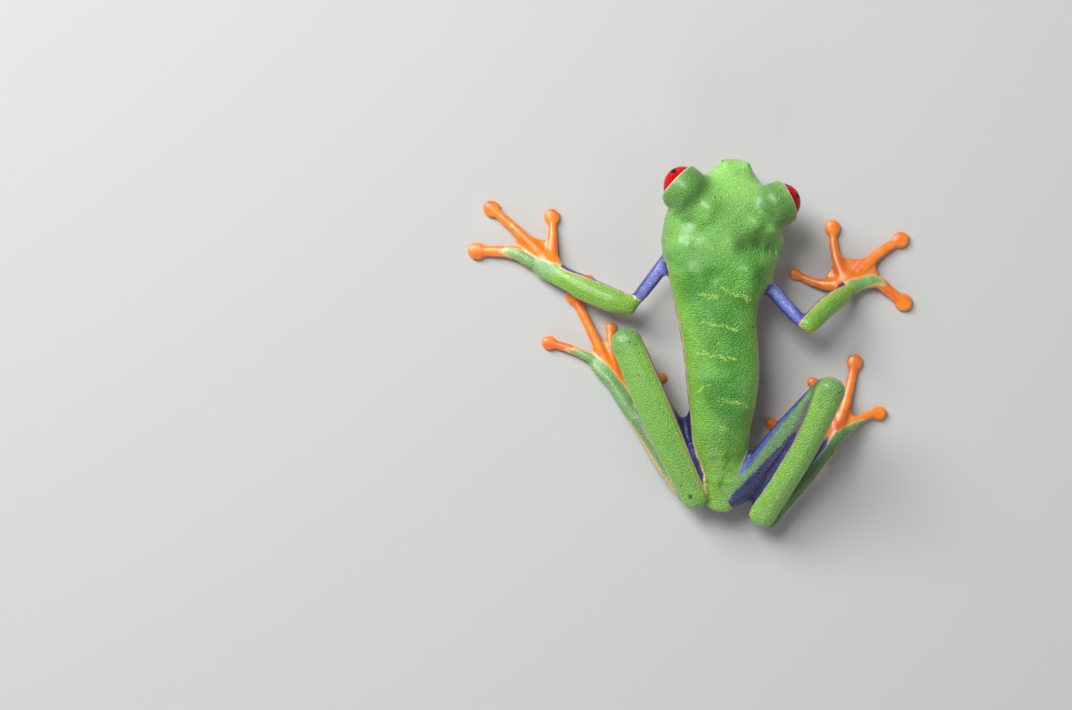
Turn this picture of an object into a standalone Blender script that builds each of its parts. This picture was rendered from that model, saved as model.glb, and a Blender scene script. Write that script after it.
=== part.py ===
"""Tree frog at life size, clinging with its arms spread and its legs folded.

The frog faces +Y with its feet on the plane Z = 0. Everything is laid out in millimetres and turned
into metres as each solid is finished. The body, each limb and each digit are modelled whole, as
smooth lofts, and are then parted from their neighbours by thin cuts.
"""

import math

import bmesh
import bpy
from mathutils import Matrix, Vector

MM = 0.001
UP = Vector((0, 0, 1))
GAP = 0.3                       # left by every cut between neighbouring parts

# The body axis runs along +Y to the neck, where the head turns to the frog's right.
NECK = Vector((4.0, 12.2, 0))
HEAD_TURN = math.radians(9.5)
TURN_REACH = 4.0                # the turn is spread this far before and behind the neck
FORWARD = Vector((math.sin(HEAD_TURN), math.cos(HEAD_TURN), 0))
RIGHT = Vector((math.cos(HEAD_TURN), -math.sin(HEAD_TURN), 0))
NECK_CUT = -0.6                 # ahead of the neck

# Sections of the body from snout to vent: ahead of the neck, middle to the right of the axis, half
# width, the heights of the top, of the widest line and of the underside, and how square the upper
# and the lower half are, where 2 is an ellipse.
BODY_SECTIONS = (
    (13.5, 0.0, 1.75, 8.7, 7.2, 5.3, 2.5, 2.2),
    (12.7, 0.0, 2.8, 9.3, 7.1, 5.0, 2.3, 2.2),
    (11.6, 0.0, 4.0, 10.0, 7.0, 4.8, 2.2, 2.2),
    (10.2, 0.0, 5.4, 11.2, 7.0, 4.6, 2.2, 2.2),
    (8.4, 0.0, 6.9, 11.9, 7.0, 4.4, 2.3, 2.2),
    (6.4, -0.1, 7.9, 12.3, 7.0, 4.2, 2.3, 2.2),
    (4.4, -0.3, 8.35, 12.4, 7.1, 4.0, 2.2, 2.2),
    (2.2, -0.3, 8.5, 12.2, 7.2, 3.7, 2.1, 2.2),
    (0.2, -0.1, 8.3, 12.1, 7.4, 3.4, 2.2, 2.2),
    (-1.9, -0.2, 7.6, 12.0, 7.8, 3.0, 2.3, 2.2),
    (-4.5, -0.5, 6.6, 11.9, 8.2, 2.6, 2.5, 2.1),
    (-7.3, -0.5, 5.8, 11.9, 8.4, 2.1, 2.6, 2.1),
    (-10.2, -0.3, 5.4, 11.8, 8.4, 1.7, 2.6, 2.1),
    (-13.5, 0.1, 5.3, 11.7, 8.4, 1.4, 2.6, 2.1),
    (-17.0, 0.3, 5.15, 11.6, 8.2, 1.2, 2.6, 2.1),
    (-20.5, 0.25, 4.75, 11.2, 7.9, 1.2, 2.5, 2.1),
    (-24.0, 0.05, 4.15, 10.2, 7.3, 1.3, 2.4, 2.1),
    (-27.2, 0.25, 3.6, 8.9, 6.5, 1.6, 2.3, 2.1),
    (-30.1, 0.45, 2.75, 7.8, 5.9, 2.1, 2.2, 2.1),
    (-32.9, 0.5, 2.35, 6.9, 5.4, 2.7, 2.3, 2.1),
    (-35.2, 0.3, 1.95, 6.1, 5.0, 3.4, 2.4, 2.1),
)
BODY_SIDES = 28
BODY_STEP = 1.45
SNOUT_ROUND = 0.7
VENT_ROUND = 0.9

# Swellings and hollows of the body, on both sides: to the side of the axis, ahead of the neck,
# height, reach, and how far the skin stands out.
SWELLINGS = (
    (1.7, 13.3, 8.2, 1.0, 0.5),      # nostril
    (4.4, 11.6, 9.0, 1.5, -0.4),     # hollow between nostril and eye
    (0.6, 9.6, 11.2, 2.6, -0.2),     # dip between the eyes
    (5.0, 8.6, 12.0, 2.6, 0.7),      # brow, which carries the dome of the eye
    (6.6, 4.4, 10.4, 1.7, 0.35),     # fold behind the eye
    (4.4, 2.0, 11.9, 1.8, -0.35),    # hollow before the shoulder
    (4.6, -2.0, 11.2, 2.2, 0.4),     # shoulder blade
    (1.8, -18.5, 11.6, 2.6, 0.2),    # hip hump
    (3.2, -26.5, 7.8, 2.4, 0.3),     # hip bone
)

# Places of the head: to the side of its axis, ahead of the neck, height.
EYE_PLACE = (6.85, 8.95, 9.9)
EYE_RADIUS = 2.75
SOCKET_RADIUS = EYE_RADIUS + GAP
LID_RADIUS = 3.4
LID_OPENING = 1.15              # from the eye's centre to the plane of the lid's edge
LID_RIM = 0.24
GAZE_FORWARD = math.radians(35)
GAZE_DOWN = math.radians(7)
NOSTRIL_PLACE = (1.95, 13.75, 8.35)
NOSTRIL_RADIUS = 0.3
EAR_PLACE = (8.25, 3.6, 8.3)
EAR_RADIUS = 1.0
EAR_RIM = 0.25
MOUTH_HEIGHT = 6.05
MOUTH_BACK = 3.2                # corner of the mouth, ahead of the neck
MOUTH_GROOVE = 0.2

# Way points of the limbs from the root to the end, each with half width and half height.
LIMBS = {
    "upper_arm_left": (
        (-1.6, 14.4, 6.9, 1.4, 1.5), (-4.5, 10.6, 6.3, 1.05, 1.2), (-7.9, 6.2, 5.6, 0.95, 1.1),
    ),
    "upper_arm_right": (
        (7.6, 12.1, 6.8, 1.4, 1.5), (10.7, 8.6, 7.0, 1.15, 1.25), (13.1, 5.8, 7.5, 1.0, 1.15),
        (15.8, 2.8, 8.2, 1.0, 1.1),
    ),
    "forearm_left": (
        (-8.4, 5.5, 5.5, 1.4, 1.4), (-11.2, 6.3, 5.1, 1.75, 1.55), (-15.1, 8.0, 4.0, 1.8, 1.4),
        (-18.2, 9.7, 2.7, 1.6, 1.05),
    ),
    "forearm_right": (
        (16.3, 2.5, 8.3, 1.35, 1.35), (19.1, 5.2, 6.0, 1.5, 1.4), (22.3, 7.4, 3.2, 1.35, 1.05),
    ),
    "thigh_left": (
        (4.0, -19.8, 4.8, 2.5, 2.3), (0.1, -15.6, 4.3, 2.8, 2.3), (-3.6, -11.3, 4.0, 2.35, 2.0),
        (-7.2, -3.9, 3.9, 1.9, 1.7), (-8.7, -0.6, 4.6, 1.7, 1.6),
    ),
    "thigh_right": (
        (5.4, -21.2, 4.8, 2.5, 2.3), (9.3, -18.0, 6.4, 2.4, 2.2), (13.5, -12.5, 9.8, 2.2, 2.0),
        (18.25, -6.3, 13.6, 1.7, 1.6),
    ),
    "shank_left": (
        (-9.35, 0.5, 7.2, 2.25, 1.75), (-4.7, -10.5, 7.6, 2.45, 1.8), (0.5, -21.7, 5.6, 1.95, 1.6),
    ),
    "shank_right": (
        (19.0, -6.4, 14.2, 2.1, 1.7), (15.15, -15.0, 9.8, 2.2, 1.75), (10.2, -24.2, 5.0, 2.0, 1.6),
    ),
    "tarsus_left": (
        (0.0, -21.9, 4.4, 1.4, 1.3), (-3.4, -17.9, 3.4, 1.2, 1.05), (-7.6, -11.0, 2.6, 1.2, 0.95),
    ),
    "tarsus_right": (
        (11.3, -25.0, 3.9, 1.4, 1.3), (16.2, -19.7, 3.3, 1.15, 1.05), (20.1, -14.9, 2.6, 1.2, 0.95),
    ),
}

# Rounding of the two ends of each kind of limb.
LIMB_ROUNDS = {
    "upper_arm": (1.0, 0.9), "forearm": (0.8, 0.9), "thigh": (1.6, 1.6), "shank": (1.9, 1.8),
    "tarsus": (1.2, 0.9),
}
LIMB_SIDES = 14
LIMB_STEP = 2.2

# Way points of the digits, from the wrist or the ankle to the middle of the end disc. A digit is
# parted from the hand or the foot at the last point but one.
FINGERS = {
    "left": (
        ((-19.0, 10.8, 1.8), (-17.2, 9.7, 1.1), (-14.6, 9.3, 0.5)),
        ((-20.0, 11.8, 1.8), (-19.7, 15.1, 1.0), (-19.8, 18.4, 0.5)),
        ((-19.8, 11.4, 1.8), (-22.8, 14.4, 1.4), (-25.8, 17.3, 0.9), (-28.5, 19.6, 0.5)),
        ((-19.3, 10.5, 1.9), (-22.1, 11.5, 1.6), (-24.4, 12.9, 1.3), (-26.6, 13.4, 0.9),
         (-30.6, 13.5, 0.5)),
    ),
    "right": (
        ((22.4, 8.5, 1.8), (18.6, 8.8, 1.0), (15.3, 10.2, 0.5)),
        ((22.5, 8.9, 1.8), (21.0, 13.2, 0.95), (20.7, 16.8, 0.5)),
        ((22.9, 8.7, 1.8), (27.0, 12.9, 0.95), (30.5, 15.1, 0.5)),
        ((23.0, 8.0, 1.9), (26.6, 9.2, 1.6), (28.7, 7.8, 0.95), (30.9, 6.1, 0.5)),
    ),
}
TOES = {
    "left": (
        ((-7.9, -10.1, 2.2), (-5.9, -7.3, 1.1), (-4.0, -4.7, 0.5)),
        ((-8.2, -9.6, 2.2), (-8.7, -4.2, 1.1), (-7.3, -1.0, 0.5)),
        ((-8.5, -9.4, 2.2), (-10.6, -3.9, 1.3), (-11.4, 0.2, 0.9), (-11.3, 2.4, 0.5)),
        ((-8.5, -9.6, 2.2), (-11.6, -3.4, 1.4), (-14.5, 2.7, 0.9), (-16.7, 7.0, 0.5)),
        ((-8.5, -9.9, 2.2), (-12.1, -3.7, 1.4), (-16.2, -1.0, 0.9), (-20.2, 0.25, 0.5)),
    ),
    "right": (
        ((20.4, -14.3, 2.2), (18.5, -14.9, 1.1), (15.9, -15.3, 0.5)),
        ((20.6, -13.9, 2.2), (16.8, -13.0, 1.1), (11.9, -11.4, 0.5)),
        ((20.8, -13.6, 2.2), (20.4, -9.2, 1.1), (17.85, -5.5, 0.5)),
        ((20.9, -13.7, 2.2), (22.8, -7.4, 1.1), (23.9, -2.6, 0.5)),
        ((20.9, -14.0, 2.2), (24.8, -10.6, 1.1), (27.4, -9.9, 0.5)),
    ),
}

# Half width at the root and before the disc, and the disc's radius, from the innermost digit.
FINGER_SHAPES = ((1.1, 0.56, 0.92), (1.05, 0.6, 1.22), (1.1, 0.72, 1.27), (1.1, 0.82, 1.35))
TOE_SHAPES = (
    (0.75, 0.5, 0.78), (0.8, 0.54, 0.94), (0.85, 0.57, 0.88), (0.95, 0.68, 1.25), (0.95, 0.64, 1.12),
)
ROOT_HEIGHT = 0.65              # half heights of a digit
NECK_HEIGHT = 0.52
DISC_HEIGHT = 0.6
DISC_ANGLES = (-55, -28, 0, 28, 52, 74)
DIGIT_SIDES = 10
DIGIT_STEP = 1.5

# Middle and half sizes of the palm and of the ball of the foot: along the limb, across, up.
PALMS = {
    "hand_left": ((-20.3, 11.5, 1.5), (2.2, 1.8, 1.0)),
    "hand_right": ((22.7, 8.9, 1.5), (1.9, 2.0, 1.0)),
    "foot_left": ((-9.0, -8.4, 1.85), (2.6, 1.35, 0.95)),
    "foot_right": ((20.95, -12.95, 1.85), (2.25, 1.33, 0.95)),
}
WEB_REACH = 0.95
WEB_SCALLOP = 0.12
WEB_HALF = 0.27

COLOURS = {
    "green": ((0.20, 0.52, 0.08, 1), 0.45),
    "blue": ((0.13, 0.16, 0.55, 1), 0.35),
    "orange": ((0.95, 0.27, 0.02, 1), 0.3),
    "red": ((0.75, 0.02, 0.01, 1), 0.08),
}


def catmull(rows, t):
    """Smooth value at t along rows of numbers, which passes through each of them."""
    last = len(rows) - 1
    i = min(int(t), last - 1)
    f = t - i
    before, start, end, after = rows[max(i - 1, 0)], rows[i], rows[i + 1], rows[min(i + 2, last)]
    leaving = (end - before) * 0.5
    arriving = (after - start) * 0.5
    return (
        start * (2 * f**3 - 3 * f**2 + 1) + leaving * (f**3 - 2 * f**2 + f)
        + end * (3 * f**2 - 2 * f**3) + arriving * (f**3 - f**2)
    )


def refine(rows, step):
    """The rows with smooth ones between them, no further apart than about a step."""
    result = []
    for i in range(len(rows) - 1):
        count = max(1, round((rows[i + 1] - rows[i]).xyz.length / step))
        result += [catmull(rows, i + j / count) for j in range(count)]
    return result + [rows[-1]]


def power(value, exponent):
    return math.copysign(abs(value) ** exponent, value)


def make_ring(row, side, lift, sides, scale=1.0):
    """Points around a section: middle, half width, height above and below it, and squareness."""
    middle = row.xyz
    width, above, below, square_above, square_below = row[3:8]
    points = []
    for k in range(sides):
        angle = 2 * math.pi * (k + 0.5) / sides - math.pi / 2
        rises = math.sin(angle) > 0
        exponent = 2 / (square_above if rises else square_below)
        height = above if rises else below
        across = width * power(math.cos(angle), exponent)
        up = height * power(math.sin(angle), exponent)
        points.append(middle + (side * across + lift * up) * scale)
    return points


def loft(rows, sides, start_round, end_round):
    """Closed tube through the sections, with both ends rounded off."""
    middles = [row.xyz for row in rows]
    rings = []
    last = len(rows) - 1
    for i, row in enumerate(rows):
        along = (middles[min(i + 1, last)] - middles[max(i - 1, 0)]).normalized()
        side = along.cross(UP).normalized()
        lift = side.cross(along)
        ring = make_ring(row, side, lift, sides)
        if i == 0:
            start = round_end(row, side, lift, -along, sides, start_round)
            rings += reversed(start)
        rings.append(ring)
        if i == last:
            rings += round_end(row, side, lift, along, sides, end_round)
    return skin_over(rings)


def round_end(row, side, lift, outward, sides, depth):
    """Rings that shrink to a point beyond an end section."""
    rings = []
    for angle in (math.radians(30), math.radians(58)):
        moved = Vector((*(row.xyz + outward * (depth * math.sin(angle))), *row[3:8]))
        rings.append(make_ring(moved, side, lift, sides, math.cos(angle)))
    tip = (row.xyz + outward * depth)
    if row[4] != row[5]:
        tip += lift * (row[4] - row[5]) * 0.1
    return rings + [[tip]]


def skin_over(rings):
    """Mesh over a row of rings, of which the first and the last are single points."""
    mesh = bmesh.new()
    rows = [[mesh.verts.new(point) for point in ring] for ring in rings]
    for first, second in zip(rows, rows[1:]):
        count = max(len(first), len(second))
        for k in range(count):
            corners = [first[k % len(first)], first[(k + 1) % len(first)]]
            corners += [second[(k + 1) % len(second)], second[k % len(second)]]
            mesh.faces.new(list(dict.fromkeys(corners)))
    bmesh.ops.recalc_face_normals(mesh, faces=mesh.faces)
    return mesh


def sphere(centre, radius, columns, rows):
    mesh = bmesh.new()
    bmesh.ops.create_uvsphere(
        mesh, u_segments=columns, v_segments=rows, radius=radius, matrix=Matrix.Translation(centre)
    )
    return mesh


def revolve(centre, axis, profile, columns):
    """Solid turned about an axis from a profile of distances along it and away from it."""
    turn = axis.to_track_quat("Z", "Y").to_matrix()
    rings = []
    for along, away in profile:
        if away == 0:
            rings.append([centre + axis * along])
            continue
        ring = []
        for k in range(columns):
            angle = 2 * math.pi * (k + 0.3) / columns
            ring.append(centre + turn @ Vector((away * math.cos(angle), away * math.sin(angle), along)))
        rings.append(ring)
    return skin_over(rings)


def make_object(name, mesh):
    data = bpy.data.meshes.new(name)
    mesh.to_mesh(data)
    mesh.free()
    thing = bpy.data.objects.new(name, data)
    bpy.context.scene.collection.objects.link(thing)
    return thing


def combine(thing, mesh, operation):
    """Boolean of an object with a mesh."""
    tool = make_object("tool", mesh)
    modifier = thing.modifiers.new("combine", "BOOLEAN")
    modifier.operation = operation
    modifier.solver = "EXACT"
    modifier.object = tool
    scene = bpy.context.evaluated_depsgraph_get()
    result = bpy.data.meshes.new_from_object(thing.evaluated_get(scene))
    thing.modifiers.clear()
    old = thing.data
    thing.data = result
    bpy.data.meshes.remove(old)
    bpy.data.objects.remove(tool)


def halve(mesh, point, normal):
    """Cut a mesh by a plane and keep the closed part that the normal points away from."""
    cut = bmesh.ops.bisect_plane(
        mesh, geom=mesh.verts[:] + mesh.edges[:] + mesh.faces[:], dist=1e-5,
        plane_co=point, plane_no=normal, clear_outer=True,
    )
    edges = [item for item in cut["geom_cut"] if isinstance(item, bmesh.types.BMEdge)]
    bmesh.ops.contextual_create(mesh, geom=edges)
    bmesh.ops.recalc_face_normals(mesh, faces=mesh.faces)


def inflated(thing, amount):
    """Mesh of an object grown outwards."""
    mesh = bmesh.new()
    mesh.from_mesh(thing.data)
    mesh.normal_update()
    grown = [vert.co + vert.normal * amount * min(vert.calc_shell_factor(), 1.6) for vert in mesh.verts]
    for vert, place in zip(mesh.verts, grown):
        vert.co = place
    return mesh


def trim(thing, others):
    """Cut an object back from its neighbours by the gap."""
    for other in others:
        combine(thing, inflated(other, GAP), "DIFFERENCE")
    keep_largest(thing)


def keep_largest(thing):
    """Remove the crumbs that a cut has left."""
    mesh = bmesh.new()
    mesh.from_mesh(thing.data)
    groups = []
    seen = set()
    for start in mesh.verts:
        if start in seen:
            continue
        group = [start]
        seen.add(start)
        for vert in group:
            for edge in vert.link_edges:
                other = edge.other_vert(vert)
                if other not in seen:
                    seen.add(other)
                    group.append(other)
        groups.append(group)
    groups.sort(key=len)
    for group in groups[:-1]:
        bmesh.ops.delete(mesh, geom=group, context="VERTS")
    mesh.to_mesh(thing.data)
    mesh.free()


def axis_place(ahead):
    """Point of the body axis at floor level, this far ahead of the neck."""
    if ahead >= TURN_REACH:
        return NECK + FORWARD * ahead
    if ahead <= -TURN_REACH:
        return NECK + Vector((0, ahead, 0))
    t = (ahead + TURN_REACH) / (2 * TURN_REACH)
    behind = NECK - Vector((0, TURN_REACH, 0))
    front = NECK + FORWARD * TURN_REACH
    return behind * (1 - t) ** 2 + NECK * 2 * t * (1 - t) + front * t**2


def body_place(sideways, ahead, height):
    """Point to the right of the body axis, at a height."""
    along = axis_place(ahead + 0.05) - axis_place(ahead - 0.05)
    return axis_place(ahead) + along.cross(UP).normalized() * sideways + UP * height


def head_place(place, side):
    """Point of the head, on its right for side 1 and on its left for side -1."""
    sideways, ahead, height = place
    return NECK + RIGHT * sideways * side + FORWARD * ahead + UP * height


def gaze(side):
    """Direction in which an eye looks."""
    level = RIGHT * side * math.cos(GAZE_FORWARD) + FORWARD * math.sin(GAZE_FORWARD)
    return (level * math.cos(GAZE_DOWN) - UP * math.sin(GAZE_DOWN)).normalized()


def make_body():
    """Head and trunk in one piece."""
    rows = []
    for ahead, sideways, width, top, middle, bottom, above, below in BODY_SECTIONS:
        place = body_place(sideways, ahead, middle)
        rows.append(Vector((*place, width, top - middle, middle - bottom, above, below)))
    mesh = loft(refine(rows, BODY_STEP), BODY_SIDES, SNOUT_ROUND, VENT_ROUND)
    for sideways, ahead, height, reach, rise in SWELLINGS:
        for side in (-1, 1):
            swell(mesh, body_place(sideways * side, ahead, height), reach, rise)
    return mesh


def swell(mesh, place, reach, rise):
    """Push the skin out around a place."""
    mesh.normal_update()
    moves = []
    for vert in mesh.verts:
        near = math.exp(-((vert.co - place).length / reach) ** 2)
        moves.append(vert.normal * (rise * near))
    for vert, move in zip(mesh.verts, moves):
        vert.co += move


def neck_cut(mesh, direction):
    """Keep the part of the body on one side of the neck."""
    along = (axis_place(NECK_CUT + 0.05) - axis_place(NECK_CUT - 0.05)).normalized() * direction
    halve(mesh, axis_place(NECK_CUT) - along * (GAP / 2), along)


def make_torso():
    mesh = make_body()
    neck_cut(mesh, 1)
    return make_object("torso", mesh)


def make_head():
    mesh = make_body()
    neck_cut(mesh, -1)
    head = make_object("head", mesh)
    for side in (-1, 1):
        add_lid(head, side)
    combine(head, mouth_line(), "DIFFERENCE")
    for side in (-1, 1):
        nostril = sphere(head_place(NOSTRIL_PLACE, side), NOSTRIL_RADIUS, 10, 6)
        combine(head, nostril, "DIFFERENCE")
        combine(head, eardrum(side), "UNION")
    keep_largest(head)
    return head


def add_lid(head, side):
    """Dome of skin around an eye, open in front, with a thick edge and a hollow for the eye."""
    centre = head_place(EYE_PLACE, side)
    look = gaze(side)
    edge = LID_OPENING
    wide = math.sqrt(LID_RADIUS**2 - edge**2)
    front = math.acos((edge - LID_RIM) / LID_RADIUS)
    steps = 9
    profile = [(-LID_RADIUS, 0)]
    for i in range(1, steps):
        angle = math.pi - (math.pi - front) * i / steps
        profile.append((LID_RADIUS * math.cos(angle), LID_RADIUS * math.sin(angle)))
    lip = edge + LID_RIM * 0.8
    profile += [(edge - LID_RIM, wide + 0.1), (edge, wide + 0.12), (lip, wide - 0.05)]
    profile += [(lip, wide - 0.25), (lip, 0)]
    combine(head, revolve(centre, look, profile, 26), "UNION")
    combine(head, sphere(centre, SOCKET_RADIUS, 20, 12), "DIFFERENCE")


def mouth_line():
    """Thin tube that follows the lips, to cut the line of the mouth."""
    aheads = [13.95, 13.6, 12.9, 11.8, 10.4, 8.6, 6.6, 4.8, MOUTH_BACK]
    right = [lip_place(ahead, 1) for ahead in aheads]
    left = [lip_place(ahead, -1) for ahead in reversed(aheads)]
    rows = []
    for place in left + right:
        rows.append(Vector((*place, MOUTH_GROOVE, MOUTH_GROOVE, MOUTH_GROOVE, 2, 2)))
    return loft(refine(rows, 0.8), 6, 0.15, 0.15)


def lip_place(ahead, side):
    """Point of the skin at the height of the lips."""
    position = 0
    while position < 6 and BODY_SECTIONS[position + 1][0] > ahead:
        position += 1
    near, far = BODY_SECTIONS[position], BODY_SECTIONS[position + 1]
    share = (near[0] - ahead) / (near[0] - far[0])
    sideways, width, top, middle, bottom, above, below = (
        a + (b - a) * share for a, b in zip(near[1:], far[1:])
    )
    depth = min((middle - MOUTH_HEIGHT) / (middle - bottom), 1)
    reach = width * (1 - depth**below) ** (1 / below)
    if share < 0:
        beyond = min((ahead - near[0]) / SNOUT_ROUND, 1)
        reach = near[2] * math.sqrt(1 - beyond**2) * 0.9
    return body_place(sideways + reach * side, ahead, MOUTH_HEIGHT)


def eardrum(side):
    """Shallow dish with a raised edge, set into the side of the head."""
    axis = (RIGHT * side + UP * 0.3).normalized()
    out = EAR_RADIUS
    profile = (
        (-0.8, 0), (-0.8, out), (-EAR_RIM, out + EAR_RIM), (0, out), (0, out * 0.75), (-0.12, 0)
    )
    return revolve(head_place(EAR_PLACE, side), axis, profile, 14)


def make_eye(name, side):
    return make_object(name, sphere(head_place(EYE_PLACE, side), EYE_RADIUS, 20, 12))


def make_limb(name):
    rows = []
    for x, y, z, width, height in LIMBS[name]:
        rows.append(Vector((x, y, z, width, height, height, 2.2, 2.2)))
    rounds = LIMB_ROUNDS[name.rsplit("_", 1)[0]]
    return make_object(name, loft(refine(rows, LIMB_STEP), LIMB_SIDES, *rounds))


def digit_course(points):
    """Places along a digit with their distance from its root."""
    course = [Vector(point) for point in points]
    places = [catmull(course, i / 8) for i in range(8 * (len(course) - 1) + 1)]
    distances = [0.0]
    for first, second in zip(places, places[1:]):
        distances.append(distances[-1] + (second - first).length)
    return places, distances


def place_at(places, distances, distance):
    """Place on a course, which goes straight on beyond its end."""
    i = 0
    while i < len(places) - 2 and distances[i + 1] < distance:
        i += 1
    share = (distance - distances[i]) / (distances[i + 1] - distances[i])
    return places[i].lerp(places[i + 1], share)


def make_digit(points, shape):
    """Whole digit from its root to the round disc at its end."""
    root_width, neck_width, disc = shape
    places, distances = digit_course(points)
    length = distances[-1]
    flare = length - disc * 1.15
    count = max(3, round(flare / DIGIT_STEP))
    rows = []
    for i in range(count + 1):
        share = i / count
        width = root_width + (neck_width - root_width) * share**0.8
        height = ROOT_HEIGHT + (NECK_HEIGHT - ROOT_HEIGHT) * share
        rows.append(digit_row(place_at(places, distances, flare * share), width, height))
    for degrees in DISC_ANGLES:
        angle = math.radians(degrees)
        width = disc * math.cos(angle)
        height = DISC_HEIGHT * math.cos(angle) ** 0.5
        if degrees < 0:
            width = max(width, neck_width)
            height = max(height, NECK_HEIGHT)
        place = place_at(places, distances, length + disc * math.sin(angle))
        place.z = max(place.z, points[-1][2])
        rows.append(digit_row(place, width, height))
    mesh = loft(rows, DIGIT_SIDES, root_width * 0.6, disc * 0.05)
    for vert in mesh.verts:
        vert.co.z = max(vert.co.z, 0)
    return mesh


def digit_row(place, width, height):
    return Vector((*place, width, height, height, 2.2, 2.6))


def digit_cut(points):
    """Point and direction of the cut between a digit and its hand or foot."""
    bend = Vector(points[-2])
    along = Vector(points[-1]) - Vector(points[-3])
    along.z = 0
    return bend, along.normalized()


def make_web(first, second):
    """Thin skin between two neighbouring digits, with a hollow edge."""
    columns = 6
    rows = 4
    mesh = bmesh.new()
    grids = []
    for offset in (WEB_HALF, -WEB_HALF):
        grid = []
        for i in range(columns + 1):
            across = i / columns
            edge = WEB_REACH * (1 - WEB_SCALLOP * math.sin(math.pi * across))
            line = []
            for j in range(rows + 1):
                share = 0.15 + (edge - 0.15) * j / rows
                place = root_place(first, share).lerp(root_place(second, share), across)
                line.append(mesh.verts.new(place + UP * offset))
            grid.append(line)
        grids.append(grid)
    top, bottom = grids
    for i in range(columns):
        for j in range(rows):
            mesh.faces.new((top[i][j], top[i + 1][j], top[i + 1][j + 1], top[i][j + 1]))
            mesh.faces.new((bottom[i][j], bottom[i][j + 1], bottom[i + 1][j + 1], bottom[i + 1][j]))
        for j in (0, rows):
            mesh.faces.new((top[i][j], top[i + 1][j], bottom[i + 1][j], bottom[i][j]))
    for i in (0, columns):
        for j in range(rows):
            mesh.faces.new((top[i][j], top[i][j + 1], bottom[i][j + 1], bottom[i][j]))
    bmesh.ops.recalc_face_normals(mesh, faces=mesh.faces)
    return mesh


def root_place(points, share):
    """Place between the root of a digit and its cut, slightly below the middle of the digit."""
    places, distances = digit_course(points)
    end = len(places) - 9
    return place_at(places, distances, distances[end] * share) - UP * 0.12


def make_palm(name, digits, shapes):
    """Hand or foot with the roots of its digits and the webs between them."""
    centre, sizes = PALMS[name]
    along = Vector(digits[3][-2]) - Vector(digits[3][0])
    along.z = 0
    turn = along.to_track_quat("X", "Z").to_matrix().to_4x4()
    ball = sphere(Vector(), 1, 16, 10)
    ball.transform(Matrix.Translation(centre) @ turn @ Matrix.Diagonal((*sizes, 1)))
    palm = make_object(name, ball)
    for points, shape in zip(digits, shapes):
        digit = make_digit(points, shape)
        bend, along = digit_cut(points)
        halve(digit, bend - along * (GAP / 2), along)
        combine(palm, digit, "UNION")
    for first, second in zip(digits, digits[1:]):
        combine(palm, make_web(first, second), "UNION")
    keep_largest(palm)
    return palm


def make_digits(kind, side, digits, shapes):
    result = []
    for i, (points, shape) in enumerate(zip(digits, shapes)):
        digit = make_digit(points, shape)
        bend, along = digit_cut(points)
        halve(digit, bend + along * (GAP / 2), -along)
        thing = make_object(f"{kind}_{side}_{i + 1}", digit)
        keep_largest(thing)
        result.append(thing)
    return result


def make_materials():
    materials = {}
    for name, (colour, roughness) in COLOURS.items():
        material = bpy.data.materials.new(name)
        material.use_nodes = True
        shader = material.node_tree.nodes["Principled BSDF"]
        shader.inputs["Base Color"].default_value = colour
        shader.inputs["Roughness"].default_value = roughness
        material.diffuse_color = colour
        materials[name] = material
    return materials


def colour_of(name):
    kind = name.split("_")[0]
    if kind == "eye":
        return "red"
    if kind in ("upper", "thigh"):
        return "blue"
    if kind in ("hand", "foot", "finger", "toe"):
        return "orange"
    return "green"


def finish(thing, materials):
    """Clean the mesh, turn it into metres and give it its material."""
    mesh = bmesh.new()
    mesh.from_mesh(thing.data)
    bmesh.ops.triangulate(mesh, faces=mesh.faces)
    mesh.transform(Matrix.Scale(MM, 4))
    mesh.to_mesh(thing.data)
    mesh.free()
    thing.data.materials.clear()
    thing.data.materials.append(materials[colour_of(thing.name)])


def main():
    for thing in list(bpy.data.objects):
        bpy.data.objects.remove(thing)
    torso = make_torso()
    head = make_head()
    parts = [torso, head, make_eye("eye_left", -1), make_eye("eye_right", 1)]
    limbs = {name: make_limb(name) for name in LIMBS}
    for side in ("left", "right"):
        hand = make_palm(f"hand_{side}", FINGERS[side], FINGER_SHAPES)
        foot = make_palm(f"foot_{side}", TOES[side], TOE_SHAPES)
        trim(limbs[f"shank_{side}"], (torso,))
        trim(limbs[f"upper_arm_{side}"], (torso, head, limbs[f"forearm_{side}"]))
        trim(limbs[f"thigh_{side}"], (torso, limbs[f"shank_{side}"]))
        trim(limbs[f"tarsus_{side}"], (limbs[f"shank_{side}"], limbs[f"thigh_{side}"]))
        trim(hand, (limbs[f"forearm_{side}"],))
        trim(foot, (limbs[f"tarsus_{side}"],))
        parts += [hand, foot]
        parts += make_digits("finger", side, FINGERS[side], FINGER_SHAPES)
        parts += make_digits("toe", side, TOES[side], TOE_SHAPES)
    parts += limbs.values()
    materials = make_materials()
    for part in parts:
        finish(part, materials)


main()
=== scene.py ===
"""Looks of the tree frog.

Sizes and places are in millimetres until a mesh is finished, and are then turned into metres.
The solids of the frame are fused into one skin, which is smoothed, sculpted and painted. The eyes
and the edges of their lids are pieces of their own.
"""

import math

import bmesh
import bpy
import numpy as np
from mathutils import Matrix, Vector
from mathutils.bvhtree import BVHTree

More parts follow.
